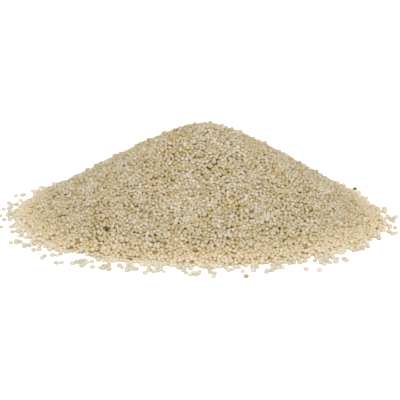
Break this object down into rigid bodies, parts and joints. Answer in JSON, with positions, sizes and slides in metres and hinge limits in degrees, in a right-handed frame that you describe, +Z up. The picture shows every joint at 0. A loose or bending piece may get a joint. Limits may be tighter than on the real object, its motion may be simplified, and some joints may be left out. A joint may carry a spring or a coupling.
{
  "type": "heap of white poppy seeds",
  "caption": "Low cone of small kidney-shaped ivory poppy seeds lying as poured, with loose seeds scattered round its foot.",
  "frame": {"origin": "on the surface that the heap lies on, straight below its summit", "axes": "+Z up, -Y towards the front, +X to the right as seen from the front"},
  "size_m": [0.0891, 0.0963, 0.0206],
  "materials": {
    "heap_seeds": "dry matt ivory to cream seeds, finely netted, with darker gaps between them",
    "loose_seeds": "dry matt pale ivory seeds",
    "ochre_seeds": "dry matt ochre to brown seeds"
  },
  "bodies": {
    "root": {"heap": "heap_seeds", "loose_seed_01": "loose_seeds", "loose_seed_02": "loose_seeds", "loose_seed_03": "loose_seeds", "loose_seed_04": "loose_seeds", "loose_seed_05": "loose_seeds", "loose_seed_06": "loose_seeds", "loose_seed_07": "loose_seeds", "loose_seed_08": "loose_seeds", "loose_seed_09": "loose_seeds", "loose_seed_10": "loose_seeds", "loose_seed_11": "loose_seeds", "loose_seed_12": "loose_seeds", "loose_seed_13": "loose_seeds", "loose_seed_14": "loose_seeds", "loose_seed_15": "loose_seeds", "loose_seed_16": "loose_seeds", "loose_seed_17": "loose_seeds", "loose_seed_18": "loose_seeds", "loose_seed_19": "loose_seeds", "loose_seed_20": "loose_seeds", "loose_seed_21": "loose_seeds", "loose_seed_22": "loose_seeds", "loose_seed_23": "loose_seeds", "loose_seed_24": "loose_seeds", "loose_seed_25": "loose_seeds", "loose_seed_26": "loose_seeds", "loose_seed_27": "loose_seeds", "loose_seed_28": "loose_seeds", "loose_seed_29": "loose_seeds", "loose_seed_30": "loose_seeds", "loose_seed_31": "loose_seeds", "loose_seed_32": "loose_seeds", "loose_seed_33": "loose_seeds", "loose_seed_34": "loose_seeds", "loose_seed_35": "loose_seeds", "loose_seed_36": "loose_seeds", "loose_seed_37": "loose_seeds", "loose_seed_38": "ochre_seeds", "loose_seed_39": "loose_seeds", "loose_seed_40": "loose_seeds", "loose_seed_41": "loose_seeds", "loose_seed_42": "loose_seeds", "loose_seed_43": "loose_seeds", "loose_seed_44": "loose_seeds", "loose_seed_45": "loose_seeds", "loose_seed_46": "loose_seeds", "loose_seed_47": "loose_seeds", "loose_seed_48": "loose_seeds", "loose_seed_49": "loose_seeds", "loose_seed_50": "loose_seeds", "loose_seed_51": "loose_seeds", "loose_seed_52": "loose_seeds", "loose_seed_53": "loose_seeds", "loose_seed_54": "loose_seeds", "loose_seed_55": "loose_seeds"}
  },
  "joints": []
}
